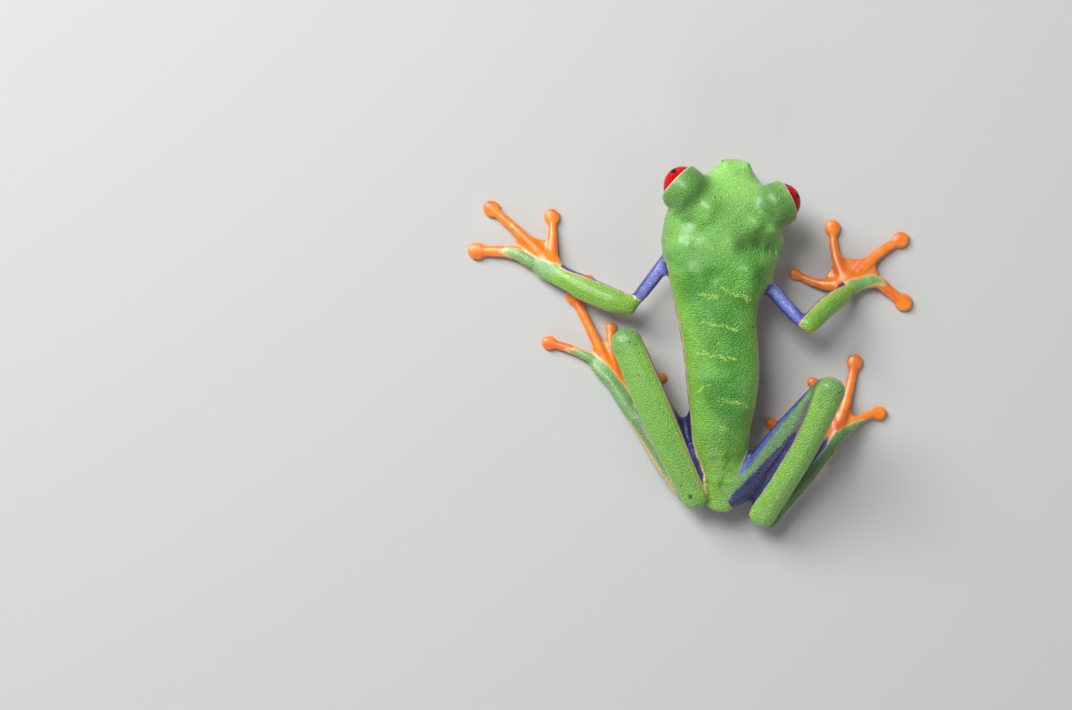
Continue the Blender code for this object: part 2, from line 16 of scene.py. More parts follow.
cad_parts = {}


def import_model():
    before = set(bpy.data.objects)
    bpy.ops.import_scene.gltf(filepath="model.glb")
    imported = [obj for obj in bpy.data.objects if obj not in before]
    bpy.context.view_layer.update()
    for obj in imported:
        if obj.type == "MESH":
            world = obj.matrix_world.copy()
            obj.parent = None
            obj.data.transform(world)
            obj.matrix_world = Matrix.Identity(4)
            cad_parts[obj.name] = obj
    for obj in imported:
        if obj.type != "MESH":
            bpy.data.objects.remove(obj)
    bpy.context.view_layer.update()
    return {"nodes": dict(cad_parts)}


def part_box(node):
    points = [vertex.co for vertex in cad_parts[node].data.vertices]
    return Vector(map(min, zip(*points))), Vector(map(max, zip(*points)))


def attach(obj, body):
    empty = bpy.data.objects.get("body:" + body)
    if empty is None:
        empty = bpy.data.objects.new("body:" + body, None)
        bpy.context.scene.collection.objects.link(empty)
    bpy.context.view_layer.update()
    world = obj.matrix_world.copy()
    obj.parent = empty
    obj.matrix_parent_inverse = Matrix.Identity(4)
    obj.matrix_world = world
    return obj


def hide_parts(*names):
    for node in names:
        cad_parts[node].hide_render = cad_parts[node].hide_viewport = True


MM = 0.001
UP = Vector((0, 0, 1))

# The camera looks straight down, as far above the floor as a hand-held close-up lens.
CAMERA_PLACE = (-22.1, -1.5, 400.0)
CAMERA_LENS = 92.96
CAMERA_SENSOR = 36.0
CAMERA_CLIP = (0.01, 10)  # metres

# Soft lights: place and size in metres, power in watts.
LIGHTS = (
    ("key", (-0.36, 0.33, 0.37), 0.32, 3.1),
    ("top", (-0.17, 0.22, 0.5), 0.22, 1.7),
    ("fill", (0.4, -0.2, 0.5), 0.5, 0.4),
    ("rim", (-0.1, -0.5, 0.3), 0.3, 0.5),
)
LIGHT_AIM = Vector((0, 0, 0.006))
SKY_COLOUR = (0.9, 0.95, 1.0, 1)
SKY_STRENGTH = 0.12
FLOOR_REACH = 3.0  # metres

# The head's axis turns to the frog's right at the neck.
NECK = Vector((4.0, 12.2, 0))
HEAD_TURN = math.radians(9.5)
FORWARD = Vector((math.sin(HEAD_TURN), math.cos(HEAD_TURN), 0))
RIGHT = Vector((math.cos(HEAD_TURN), -math.sin(HEAD_TURN), 0))

# Skin: how it is fused and smoothed.
GROWTH = 0.2  # bridges the gaps between the solids, and is taken back later
VOXEL = 0.2
VOXEL_FAIR = 8  # rounds that take out the steps of the voxels
FILLET_REACH = 1.5
LID_FILL = 110  # rounds of filling around the domes of the eyes
JOINT_FILL = 16
JOINT_RELAX = 16
FOLD_RELAX = 36
RELAX_STEP = 0.6
FILL_STEP = 0.8  # share of a step that fills a hollow
LOWER_STEP = 0.08  # share of a step that lowers a ridge
SHRINK_STEP = 0.5
SWELL_STEP = 0.53  # a little more than the shrinking, so that the size is kept
SKIN_TRIANGLES = 196000

# How much the skin is smoothed where two kinds of part meet. Where none is given, a crease stays.
JOINTS = {
    ("head", "torso"): 1.0, ("torso", "upper_arm"): 1.0, ("torso", "thigh"): 1.0,
    ("upper_arm", "forearm"): 0.5, ("forearm", "hand"): 1.0, ("tarsus", "foot"): 1.0,
}

# Sides: -1 is the frog's left and 1 its right.
SIDES = {"left": -1, "right": 1}

# Eyes.
LOOK_FORWARD = math.radians(35)
LOOK_DOWN = math.radians(7)
PUPIL_FORWARD = {"left": math.radians(46), "right": math.radians(31)}
PUPIL_UP = math.radians(9)
PUPIL_HALF_WIDTH = 0.15  # both as shares of the eye's radius
PUPIL_HALF_HEIGHT = 0.5
EYE_GROWTH = 0.16  # beyond the solid eye, up to the lids
EYE_SINK = 0.04  # keeps the ball just under the lids
CORNEA_BULGE = 0.12
CORNEA_EDGE = 0.62  # along the eye's axis, as a share of its radius
CORNEA_DEPTH = 0.38  # from there to the front
LID_EDGE = 1.25  # from the eye's centre to the plane of the lid's edge
LID_THICKNESS = 0.24
LID_OVERLAP = 0.06
DOME_WALL = 1.4  # skin this near to an eye is drawn onto it
INNER_WALL = 0.35  # the part of it that is squeezed most
RIM_STEPS = 120
RIM_SIDES = 12

# Mouth and nostrils.
MOUTH_HEIGHT = 6.05
MOUTH_CORNER = 3.2  # ahead of the neck
NOSTRIL_PLACE = (2.0, 13.7, 8.05)
NOSTRIL_RADIUS = 0.24
NOSTRIL_DEPTH = 0.3
NOSTRIL_RIM = (0.75, 0.14)  # reach and rise

# Lip, chin and groove of the mouth: height above its line, half width and rise.
MOUTH_FORMS = ((0.45, 0.35, 0.13), (-0.45, 0.3, 0.05), (0.0, 0.16, -0.2))

EARDRUM_PLACE = (4.2, 1.3, 1.5)  # behind, below and outward of the middle of the eye
EARDRUM_RADIUS = 1.0
EARDRUM_RISE = 0.12
EARDRUM_RIM = 0.25  # half width of the raised ring
EARDRUM_DIP = 0.6  # of the disc inside it, as a share of the rise

# Folds of skin that join parts: the two ends of each with a radius.
FOLDS = (
    ((-0.1, -9.0, 4.6), 0.5, (-0.3, -12.2, 4.6), 1.1),  # left groin
    ((0.2, -12.0, 4.8), 1.1, (0.6, -16.0, 4.8), 1.4),
    ((-7.6, 6.1, 6.0), 0.8, (-8.9, 5.9, 5.6), 1.1),  # left elbow
    ((15.6, 3.0, 8.1), 0.9, (16.5, 2.7, 8.2), 1.1),  # right elbow
    ((-17.3, 9.9, 2.7), 1.25, (-20.4, 11.8, 1.7), 1.25),  # left wrist
    ((-17.8, 8.7, 2.7), 1.25, (-21.4, 10.5, 1.6), 1.2),
    ((21.9, 7.2, 3.2), 1.2, (24.2, 8.5, 1.8), 1.1),  # right wrist
    ((-5.9, -13.9, 2.9), 1.35, (-9.2, -8.6, 2.2), 1.4),  # left ankle and foot
    ((-9.2, -8.6, 2.2), 1.4, (-11.4, -5.2, 1.7), 1.25),
    ((-11.4, -5.2, 1.7), 1.25, (-13.6, -3.4, 1.3), 1.0),
    ((18.4, -17.0, 2.8), 1.3, (21.4, -12.8, 2.1), 1.3),  # right ankle
)

# Forms of the upper side: place, reach and rise.
FORMS = (
    (2.3, 19.0, 1.2, 0.6),  # highlights between the eyes and the shoulders
    (1.9, 17.4, 0.9, 0.4),
    (-2.2, 19.0, 1.0, 0.5),
    (-0.6, 17.3, 1.0, -0.4),  # dimples behind the left eye
    (1.2, 16.1, 1.1, -0.22),
    (-1.3, 13.9, 1.7, 0.55),  # left shoulder blade
    (5.6, 14.0, 1.3, 0.32),
    (9.0, 16.9, 1.1, 0.6),  # fold from the right eye to the ear
    (11.1, 16.0, 0.9, 0.6),
    (9.4, 14.1, 1.25, -0.7),  # hollow behind the fold
    (7.3, 13.7, 1.2, -0.5),
    (11.2, 13.6, 1.2, -0.7),
    (9.0, 12.3, 1.4, -0.3),
    (8.0, 10.3, 1.3, 0.4),
    (2.6, 9.3, 0.9, -0.2),  # dimples between the shoulders
    (5.9, 8.6, 0.9, -0.2),
    (4.3, -15.5, 0.5, 0.2),  # end of the spine, with a groove on each side
    (4.3, -17.2, 0.5, 0.2),
    (3.1, -16.6, 0.7, -0.18),
    (5.4, -16.6, 0.7, -0.18),
    (4.6, -18.9, 0.5, -0.14),  # folds at the end of the trunk
    (4.5, -20.0, 0.5, -0.14),
    (5.4, -19.6, 0.5, 0.2),
    (3.4, -19.6, 0.6, 0.25),
    (2.3, -19.8, 0.5, -0.14),
    (3.5, -18.3, 0.5, -0.14),
)
FORMS_LEVEL = 6  # only skin above this height takes the forms

# Fuller skin behind the corner of a lid: side, reach and rise.
LID_CORNERS = (("left", 1.0, 0.45), ("right", 0.9, 0.15))

BACK_MIDDLE = 4.4  # across, between the two sides of the trunk

# Dark specks: place in plan and radius.
SPECKS = (
    (3.1, 20.9, 0.14), (12.3, 21.8, 0.16), (6.2, 19.4, 0.1), (-3.9, 17.8, 0.22), (12.4, 15.4, 0.22),
    (8.7, 2.4, 0.24), (-8.7, 0.5, 0.16), (-7.9, 0.2, 0.12), (-7.4, -4.2, 0.13), (-0.3, -21.9, 0.36),
    (2.3, -20.8, 0.18), (-1.5, -20.1, 0.16), (20.2, -6.9, 0.18), (4.9, -5.4, 0.1), (1.4, 11.6, 0.1),
)

# Broken lines of raised, yellowish grains across the back: their two ends in plan.
BACK_LINES = (
    ((0.8, 7.1), (3.4, 6.5)),
    ((4.0, 8.0), (8.1, 6.1)),
    ((1.1, 3.2), (6.2, 2.2)),
    ((0.3, -1.1), (7.1, -2.3)),
    ((0.5, -6.5), (2.4, -5.6)),
    ((3.5, -7.6), (7.8, -8.8)),
    ((4.0, -11.9), (4.7, -11.9)),
)

# Flank bars: distance from one to the next, and how much they slant.
BAR_PITCH = 3.1
BAR_SLANT = 0.35

# Where the green of each kind of limb ends, in degrees from the top of the limb: on the inner side
# and on the outer side, near the body and far from it.
GREEN_STRIPES = {
    "forearm": ((-66, 80), (-48, 84)),
    "thigh_left": ((4, 30), (-30, 40)),
    "thigh_right": ((-40, -20), (-44, 34)),
    "shank_left": ((-72, 96), (-46, 96)),
    "shank_right": ((-70, 92), (-70, 92)),
    "tarsus_left": ((-52, 56), (-40, 58)),
    "tarsus_right": ((-52, 62), (-40, 62)),
}

# Leg parts that touch when the leg is folded, and the share of their length between the joints.
CREASES = {"thigh": (-1, 0.86), "shank": (0.07, 0.9), "tarsus": (0.12, 2)}

# Which way each kind of limb runs, and its outer side where that isn't the body's.
HEADINGS = {
    "upper_arm": (0, -1, 0), "forearm": (1, 0, 0), "thigh": (0, 1, 0), "shank": (0, -1, 0),
    "tarsus": (0, 1, 0),
}
OUTWARDS = {"forearm": (0, -1, 0)}

# How yellow the green of each kind of limb is, how grey and how pale, and how wide its cream line.
LIMB_LOOKS = {
    "upper_arm": (0, 0, 0, 1), "forearm": (0.9, 0, 0, 1), "thigh": (0, 1, 0, 0),
    "shank": (0.4, 0, 0.6, 1), "tarsus": (0.1, 0.85, 0.3, 2.4),
}
PALE_ANGLE = 140  # from the top of a limb, where its pale underside begins
ELBOW_SHARE = 0.94  # of the upper arm's length, where the forearm's green begins

# Where the colours of the trunk and the head change.
FLANK_RISES = (1.4, 1.0)  # green above the widest line, on the left and on the right
BELLY_HEIGHT = 3.6
LIP_GREEN = 0.75  # above the line of the mouth
CHIN_PALE = 0.35

# Green that runs on over a hand or a foot to its outermost digit: plan places and half widths.
RIDGES = {
    "hand_left": ((-17.7, 9.2, 1.8), (-20.0, 10.3, 1.35), (-22.2, 11.5, 0.95), (-24.3, 12.8, 0.75),
                  (-26.2, 13.4, 0.45), (-28.0, 13.6, -0.2), (-29.0, 13.6, -0.9)),
    "hand_right": ((22.4, 7.9, 1.0), (24.6, 8.8, 0.75), (26.4, 9.4, 0.6), (27.5, 9.0, 0.35),
                   (28.6, 8.2, -0.2), (29.4, 7.4, -0.9)),
    "foot_left": ((-7.9, -11.6, 1.9), (-9.4, -8.6, 1.5), (-11.0, -6.0, 1.3), (-12.7, -3.6, 1.05),
                  (-14.6, -1.9, 0.8), (-16.6, -1.1, 0.45), (-18.2, -0.7, -0.1), (-19.4, -0.3, -0.9)),
    "foot_right": ((19.2, -16.2, 2.0), (20.9, -13.9, 1.0), (22.4, -12.6, 0.65), (24.0, -11.6, 0.45),
                   (25.2, -11.1, 0.2), (26.2, -10.7, -0.3), (27.0, -10.3, -0.9)),
}
OUTERMOST = {"hand": "4", "foot": "5"}

# Fields that the skin's material reads: the value at the start, and the rounds of blurring.
FIELDS = {
    "green_edge": (-3.0, 10), "pale_edge": (-3.0, 10), "orange_share": (0.0, 12),
    "flank_share": (0.0, 30), "line_share": (1.0, 30), "yellow_share": (0.0, 40),
    "grain_share": (1.0, 30), "blue_sheen_and_shade": (0.0, 12), "grey_share": (0.0, 30),
    "fine_share": (0.0, 20), "pale_and_sheen_share": (0.0, 30),
}
GRAIN_HEIGHT = 0.16 * MM
FINE_GRAIN_HEIGHT = 0.08 * MM


def srgb(red, green, blue):
    """Linear colour from the usual values of 0 to 255."""
    values = []
    for value in (red, green, blue):
        share = value / 255
        values.append(share / 12.92 if share <= 0.04045 else ((share + 0.055) / 1.055) ** 2.4)
    return (*values, 1.0)


GREEN = srgb(72, 152, 34)
LIGHT_GREEN = srgb(120, 200, 78)
SNOUT_GREEN = srgb(166, 230, 116)
YELLOW_GREEN = srgb(166, 216, 74)
PALE_YELLOW = srgb(198, 238, 106)
DEEP_GREEN = srgb(44, 104, 16)
# Dark specks and stipple, and painted shade in the nostrils.
SPECK_GREEN = srgb(26, 52, 30)
GREY_GREEN = srgb(126, 166, 116)
CREAM = srgb(226, 198, 134)
BLUE = srgb(84, 94, 190)
DARK_BLUE = srgb(18, 22, 76)
# Painted highlight on the tops of the blue limbs.
PERIWINKLE = srgb(136, 150, 226)
BELLY = srgb(232, 224, 196)
ORANGE = srgb(252, 140, 20)
DEEP_ORANGE = srgb(242, 98, 12)
# Painted highlight and painted sheen on the orange hands and feet.
PALE_ORANGE = srgb(250, 176, 120)
PALE_PINK = srgb(248, 164, 132)
IRIS_RED = srgb(206, 16, 4)
IRIS_RAY = srgb(160, 8, 4)
IRIS_DARK = srgb(112, 6, 6)
BLACK = srgb(8, 6, 6)
LID_WHITE = srgb(226, 232, 222)
LID_VIOLET = srgb(150, 132, 172)
FLOOR_GREY = srgb(196, 197, 195)


def head_place(sideways, ahead, height):
    return NECK + RIGHT * sideways + FORWARD * ahead + UP * height


def look_of(side, forward, down):
    """Direction in which an eye looks."""
    level = RIGHT * side * math.cos(forward) + FORWARD * math.sin(forward)
    return (level * math.cos(down) - UP * math.sin(down)).normalized()


def lid_axis(side):
    """Direction in which the opening of the lids looks."""
    return look_of(SIDES[side], LOOK_FORWARD, LOOK_DOWN)


def eye_ball(side):
    """Middle and radius of a solid eye."""
    low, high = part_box(f"eye_{side}")
    return (low + high) / 2 / MM, (high.x - low.x) / 2 / MM


def far_from(points, place):
    return np.linalg.norm(points - np.array(place), axis=1)


def bell(values, width):
    """1 where the values are 0, and falling off softly on both sides."""
    return np.exp(-((values / width) ** 2))


def beside_line(points, start, end):
    """Share of the way from one end of a line to the other, and distance from the line."""
    start = np.array(start)
    way = np.array(end) - start
    share = np.clip((points - start) @ way / (way @ way), 0, 1)
    return share, np.linalg.norm(points - start - share[:, None] * way, axis=1)


def around_eye(points, side):
    """Offsets of the points from an eye's centre, their lengths, and how far ahead they reach."""
    offsets = points - np.array(eye_ball(side)[0])
    return offsets, np.linalg.norm(offsets, axis=1), offsets @ np.array(lid_axis(side))


def smooth_step(low, high, values):
    share = np.clip((values - low) / (high - low), 0, 1)
    return share * share * (3 - 2 * share)


def kind_of(name):
    return name.split("_left")[0].split("_right")[0]


def make_object(name, mesh):
    thing = bpy.data.objects.new(name, mesh)
    bpy.context.scene.collection.objects.link(thing)
    return thing


def solid_mesh(node):
    """Mesh of a CAD node in millimetres, with its corners merged."""
    mesh = bmesh.new()
    mesh.from_mesh(node.data)
    bmesh.ops.remove_doubles(mesh, verts=mesh.verts, dist=1e-6)
    mesh.transform(Matrix.Scale(1 / MM, 4))
    mesh.normal_update()
    return mesh


def grown_mesh(node):
    """Mesh of a CAD node, grown until it meets its neighbours."""
    mesh = solid_mesh(node)
    grown = [vert.co + vert.normal * GROWTH for vert in mesh.verts]
    for vert, place in zip(mesh.verts, grown):
        vert.co = place
    return mesh


def fold_mesh(start, start_radius, end, end_radius):
    """Smooth sausage between two places."""
    mesh = bmesh.new()
    steps = 5
    for i in range(steps + 1):
        share = i / steps
        place = Vector(start).lerp(Vector(end), share)
        radius = start_radius + (end_radius - start_radius) * share
        bmesh.ops.create_uvsphere(
            mesh, u_segments=16, v_segments=10, radius=radius, matrix=Matrix.Translation(place)
        )
    return mesh


class Surface:
    """Points and edges of a mesh as arrays, for smoothing and painting."""

    def __init__(self, mesh):
        self.mesh = mesh
        self.read()

    def read(self):
        count = len(self.mesh.vertices)
        points = np.empty(count * 3, np.float32)
        self.mesh.vertices.foreach_get("co", points)
        self.points = points.reshape(-1, 3).astype(float)
        edges = np.empty(len(self.mesh.edges) * 2, np.int32)
        self.mesh.edges.foreach_get("vertices", edges)
        self.edges = edges.reshape(-1, 2)
        self.degree = np.bincount(self.edges.ravel(), minlength=count).astype(float)

    def write(self):
        self.mesh.vertices.foreach_set("co", self.points.astype(np.float32).ravel())
        self.mesh.update()

    def normals(self):
        self.write()
        normals = np.empty(len(self.points) * 3, np.float32)
        self.mesh.vertex_normals.foreach_get("vector", normals)
        return normals.reshape(-1, 3).astype(float)

    def mean(self, values):
        """Mean of the neighbours of each point."""
        start, end = self.edges.T
        count = len(values)
        columns = []
        for column in values.reshape(count, -1).T:
            total = np.bincount(start, column[end], count) + np.bincount(end, column[start], count)
            columns.append(total / self.degree)
        return np.stack(columns, 1).reshape(values.shape)

    def relax(self, weight, rounds):
        """Smooth the shape where the weight is above 0."""
        for _ in range(rounds):
            self.points += (self.mean(self.points) - self.points) * weight[:, None]

    def fill(self, weight, rounds):
        """Fill hollows like a stretched skin where the weight is above 0."""
        for _ in range(rounds):
            step = self.mean(self.points) - self.points
            outward = np.einsum("ij,ij->i", step, self.normals())
            self.points += step * (np.where(outward > 0, FILL_STEP, LOWER_STEP) * weight)[:, None]

    def fair(self, rounds):
        """Take out the small steps and keep the size."""
        for _ in range(rounds):
            self.points += (self.mean(self.points) - self.points) * SHRINK_STEP
            self.points -= (self.mean(self.points) - self.points) * SWELL_STEP

    def blur(self, values, rounds):
        for _ in range(rounds):
            values = (values + self.mean(values)) / 2
        return values

    def store(self, name, values):
        attribute = self.mesh.attributes.new(name, "FLOAT", "POINT")
        attribute.data.foreach_set("value", values.astype(np.float32))


def plain_result(thing, *leftovers):
    """Mesh of an object with its modifiers applied, in place of the object."""
    depsgraph = bpy.context.evaluated_depsgraph_get()
    result = bpy.data.meshes.new_from_object(thing.evaluated_get(depsgraph))
    bpy.data.objects.remove(thing)
    for mesh in leftovers:
        bpy.data.meshes.remove(mesh)
    return result


def fuse(meshes):
    """One closed mesh around all the given ones."""
    joined = bmesh.new()
    for mesh in meshes:
        data = bpy.data.meshes.new("part")
        mesh.to_mesh(data)
        mesh.free()
        joined.from_mesh(data)
        bpy.data.meshes.remove(data)
    data = bpy.data.meshes.new("joined")
    joined.to_mesh(data)
    joined.free()
    thing = make_object("joined", data)
    modifier = thing.modifiers.new("fuse", "REMESH")
    modifier.mode = "VOXEL"
    modifier.voxel_size = VOXEL
    return plain_result(thing, data)


def thin_out(mesh):
    """Fewer triangles where the skin is smooth."""
    thing = make_object("dense", mesh)
    modifier = thing.modifiers.new("thin", "DECIMATE")
    modifier.ratio = SKIN_TRIANGLES / (2 * len(mesh.polygons))
    modifier.use_collapse_triangulate = True
    result = plain_result(thing, mesh)
    result.name = "skin"
    return result


def keep_outside(mesh):
    """Drop closed pockets inside the skin."""
    edit = bmesh.new()
    edit.from_mesh(mesh)
    edit.verts.ensure_lookup_table()
    seen = bytearray(len(edit.verts))
    groups = []
    for start in edit.verts:
        if seen[start.index]:
            continue
        seen[start.index] = 1
        group = [start]
        for vert in group:
            for edge in vert.link_edges:
                other = edge.other_vert(vert)
                if not seen[other.index]:
                    seen[other.index] = 1
                    group.append(other)
        groups.append(group)
    groups.sort(key=len)
    for group in groups[:-1]:
        bmesh.ops.delete(edit, geom=group, context="VERTS")
    edit.to_mesh(mesh)
    edit.free()


def nearest_solids(frame, names, points, reach):
    """For each point the nearest solid, the next one, and how much further away that one is."""
    count = len(points)
    nearest = np.full(count, 1e3)
    second = np.full(count, 1e3)
    owner = np.zeros(count, int)
    other = np.zeros(count, int)
    for index, name in enumerate(names):
        mesh = solid_mesh(frame["nodes"][name])
        tree = BVHTree.FromBMesh(mesh)
        mesh.free()
        low, high = (np.array(corner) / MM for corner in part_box(name))
        inside = np.all((points > low - reach) & (points < high + reach), axis=1)
        for i in np.flatnonzero(inside):
            distance = tree.find_nearest(points[i])[3]
            if distance < nearest[i]:
                second[i] = nearest[i]
                other[i] = owner[i]
                nearest[i] = distance
                owner[i] = index
            elif distance < second[i]:
                second[i] = distance
                other[i] = index
    return owner, other, second - nearest


def joint_weights(names, owner, other, lead):
    """How much each point is smoothed, by the pair of parts that meet there."""
    kinds = [kind_of(name) for name in names]
    table = np.zeros((len(names), len(names)))
    for i, first in enumerate(kinds):
        for j, second in enumerate(kinds):
            table[i, j] = JOINTS.get((first, second), JOINTS.get((second, first), 0))
    return table[owner, other] * (1 - smooth_step(0.3, FILLET_REACH, lead))


def fold_weights(points):
    """1 on the folds of skin that bridge two parts, and 0 away from them."""
    weights = np.zeros(len(points))
    for start, start_radius, end, end_radius in FOLDS:
        share, far = beside_line(points, start, end)
        beyond = far - start_radius - (end_radius - start_radius) * share
        weights = np.maximum(weights, 1 - smooth_step(0.2, 0.9, beyond))
    return weights


def smooth_joints(frame, names, surface):
    """Carry the skin smoothly over the joints and the folds."""
    surface.fair(VOXEL_FAIR)
    owner, other, lead = nearest_solids(frame, names, surface.points, 1.6)
    weight = surface.blur(joint_weights(names, owner, other, lead), 4)
    surface.relax(weight * RELAX_STEP, JOINT_RELAX)
    surface.relax(surface.blur(fold_weights(surface.points), 4) * RELAX_STEP, FOLD_RELAX)
    surface.fill(weight, JOINT_FILL)


def blend_lids(surface):
    """Fillet the domes of the eyes into the head, away from the openings of the lids."""
    weight = np.zeros(len(surface.points))
    for side in SIDES:
        _, far, ahead = around_eye(surface.points, side)
        radius = eye_ball(side)[1]
        ring = smooth_step(radius + 0.3, radius + 0.8, far) * smooth_step(6.8, 5.4, far)
        weight = np.maximum(weight, ring * smooth_step(LID_EDGE - 0.2, LID_EDGE - 1.3, ahead))
    surface.fill(weight, LID_FILL)


def hug_eye(surface, side):
    """Close the lid onto the eye and thin its edge."""
    centre, radius = eye_ball(side)
    offsets, far, ahead = around_eye(surface.points, side)
    inner = radius + EYE_GROWTH - LID_OVERLAP
    share = smooth_step(-1.6, 0.6, ahead) * (far < radius + DOME_WALL)
    squeezed = inner + (far - inner) * np.where(far < inner + INNER_WALL, 0.15, 0.55)
    target = np.where(far > inner - 0.8, np.maximum(squeezed, inner), far)
    scale = 1 + (target / np.maximum(far, 0.1) - 1) * share
    surface.points = np.array(centre) + offsets * scale[:, None]


def bump_out(surface, centre, reach, rise):
    """Push the skin out or in around a place."""
    weight = bell(far_from(surface.points, centre), reach)
    surface.points += surface.normals() * (rise * weight)[:, None]


def sculpt_back(surface):
    """Soft forms of the upper side, given in plan."""
    for side, reach, rise in LID_CORNERS:
        centre, radius = eye_ball(side)
        look = lid_axis(side)
        back = (look.cross(UP) * SIDES[side]).normalized()
        bump_out(surface, centre + back * (radius + 0.4) + look * 0.1, reach, rise)
    for x, y, reach, rise in FORMS:
        normals = surface.normals()
        weight = bell(far_from(surface.points[:, :2], (x, y)), reach)
        weight *= smooth_step(0.2, 0.7, normals[:, 2])
        weight *= surface.points[:, 2] > FORMS_LEVEL
        surface.points += normals * (rise * weight)[:, None]


def mouth_height(ahead):
    """Height of the line of the mouth, which curves down before its corner."""
    return MOUTH_HEIGHT - 0.25 * smooth_step(8, 4, ahead) + 0.1 * smooth_step(11, 14, ahead)


def cut_mouth(surface):
    """Line of the mouth, with a soft lip above it and a chin below it."""
    ahead = (surface.points - np.array(NECK)) @ np.array(FORWARD)
    height = surface.points[:, 2] - mouth_height(ahead)
    front = smooth_step(MOUTH_CORNER - 0.4, MOUTH_CORNER + 0.6, ahead)
    normals = surface.normals()
    outside = np.linalg.norm(normals[:, :2], axis=1) > 0.5
    relief = np.zeros(len(height))
    for middle, half_width, rise in MOUTH_FORMS:
        relief += rise * bell(height - middle, half_width)
    surface.points += normals * (relief * front * outside)[:, None]


def nostril_place(side):
    sideways, ahead, height = NOSTRIL_PLACE
    return head_place(sideways * side, ahead, height)


def pierce_nostrils(surface):
    for side in SIDES.values():
        bump_out(surface, nostril_place(side), *NOSTRIL_RIM)
        bump_out(surface, nostril_place(side) + UP * 0.12, NOSTRIL_RADIUS, -NOSTRIL_DEPTH)


def ring_eardrums(surface):
    """Very faint round eardrum behind and below each eye."""
    for side in SIDES:
        behind, below, outward = EARDRUM_PLACE
        goal = eye_ball(side)[0] - FORWARD * behind - UP * below + RIGHT * SIDES[side] * outward
        far = far_from(surface.points, surface.points[far_from(surface.points, goal).argmin()])
        ring = bell(far - EARDRUM_RADIUS, EARDRUM_RIM)
        disc = np.exp(-((far / (0.8 * EARDRUM_RADIUS)) ** 4))
        rise = EARDRUM_RISE * (ring - EARDRUM_DIP * disc)
        surface.points += surface.normals() * rise[:, None]


def speck_and_nostril_places(surface):
    """Places of the dark specks, and of the nostrils whose openings get painted shade, on the skin, with
    their radii.
    """
    points = surface.points
    upper = points[(surface.normals()[:, 2] > 0.15) & (points[:, 2] > 4)]
    places = []
    for x, y, radius in SPECKS:
        far = far_from(upper[:, :2], (x, y))
        under = upper[far < max(0.3, far.min() + 0.01)]
        places.append((under[under[:, 2].argmax()].tolist(), radius))
    # The nostrils' openings get painted shade.
    for side in SIDES.values():
        nearest = far_from(points, nostril_place(side)).argmin()
        places.append((points[nearest].tolist(), NOSTRIL_RADIUS))
    return places


def make_skin(frame, names):
    """One skin around all the flesh."""
    meshes = [grown_mesh(frame["nodes"][name]) for name in names]
    meshes += [fold_mesh(*fold) for fold in FOLDS]
    mesh = fuse(meshes)
    keep_outside(mesh)
    surface = Surface(mesh)
    smooth_joints(frame, names, surface)
    blend_lids(surface)
    surface.points -= surface.normals() * GROWTH
    surface.fair(3)
    for side in SIDES:
        hug_eye(surface, side)
    surface.fair(2)
    sculpt_back(surface)
    cut_mouth(surface)
    pierce_nostrils(surface)
    ring_eardrums(surface)
    surface.points[:, 2] = np.maximum(surface.points[:, 2], 0)
    surface.write()
    mesh = thin_out(mesh)
    surface = Surface(mesh)
    paint_skin(frame, names, surface)
    mesh.materials.append(skin_material(speck_and_nostril_places(surface)))
    mesh.transform(Matrix.Scale(MM, 4))
    mesh.shade_smooth()
    return make_object("skin", mesh)


def solid_points(frame, name):
    """Corners of a CAD node in millimetres."""
    mesh = frame["nodes"][name].data
    points = np.empty(len(mesh.vertices) * 3, np.float32)
    mesh.vertices.foreach_get("co", points)
    return np.unique(points.reshape(-1, 3).astype(float).round(6), axis=0) / MM


class Course:
    """Curved axis of a limb, read from its solid, with the directions around it."""

    def __init__(self, points, heading, outward, bends=2):
        self.middle = points.mean(0)
        spread = points - self.middle
        axis = np.linalg.svd(spread, full_matrices=False)[2][0]
        self.axis = axis * math.copysign(1, axis @ np.array(heading))
        along = spread @ self.axis
        self.start, self.end = along.min(), along.max()
        self.fits = [np.polyfit(along, spread[:, k] - along * self.axis[k], bends) for k in range(3)]
        up = np.array((0, 0, 1.0))
        up -= self.axis * (up @ self.axis)
        self.up = up / np.linalg.norm(up)
        out = np.array(outward, float)
        out -= self.axis * (out @ self.axis) + self.up * (out @ self.up)
        self.out = out / np.linalg.norm(out)

    def read(self, points):
        """Share of the length, angle from the top towards the outer side, and distance."""
        spread = points - self.middle
        along = spread @ self.axis
        bent = np.stack([np.polyval(fit, along) for fit in self.fits], 1)
        away = spread - along[:, None] * self.axis - bent
        up = away @ self.up
        out = away @ self.out
        share = (along - self.start) / (self.end - self.start)
        return share, np.degrees(np.arctan2(out, up)), np.hypot(out, up)


def widest_height(points, places):
    """Height of the widest line of the trunk at each distance along it."""
    heights = []
    centres = []
    for low in np.arange(points[:, 1].min() + 1, points[:, 1].max() - 2, 3.0):
        slab = points[(points[:, 1] >= low) & (points[:, 1] < low + 3)]
        if len(slab) < 8:
            continue
        far = np.abs(slab[:, 0] - slab[:, 0].mean())
        outer = slab[far > np.quantile(far, 0.8)]
        heights.append(outer[:, 2].mean())
        centres.append(low + 1.5)
    fit = np.polyfit(centres, heights, 3)
    return np.polyval(fit, np.clip(places, centres[0], centres[-1]))


def ridge_edge(places, ridge):
    """How far inside the green band of a ridge each place is, in millimetres."""
    edge = np.full(len(places), -3.0)
    for start, end in zip(ridge, ridge[1:]):
        share, far = beside_line(places[:, :2], start[:2], end[:2])
        edge = np.maximum(edge, start[2] + (end[2] - start[2]) * share - far)
    return edge


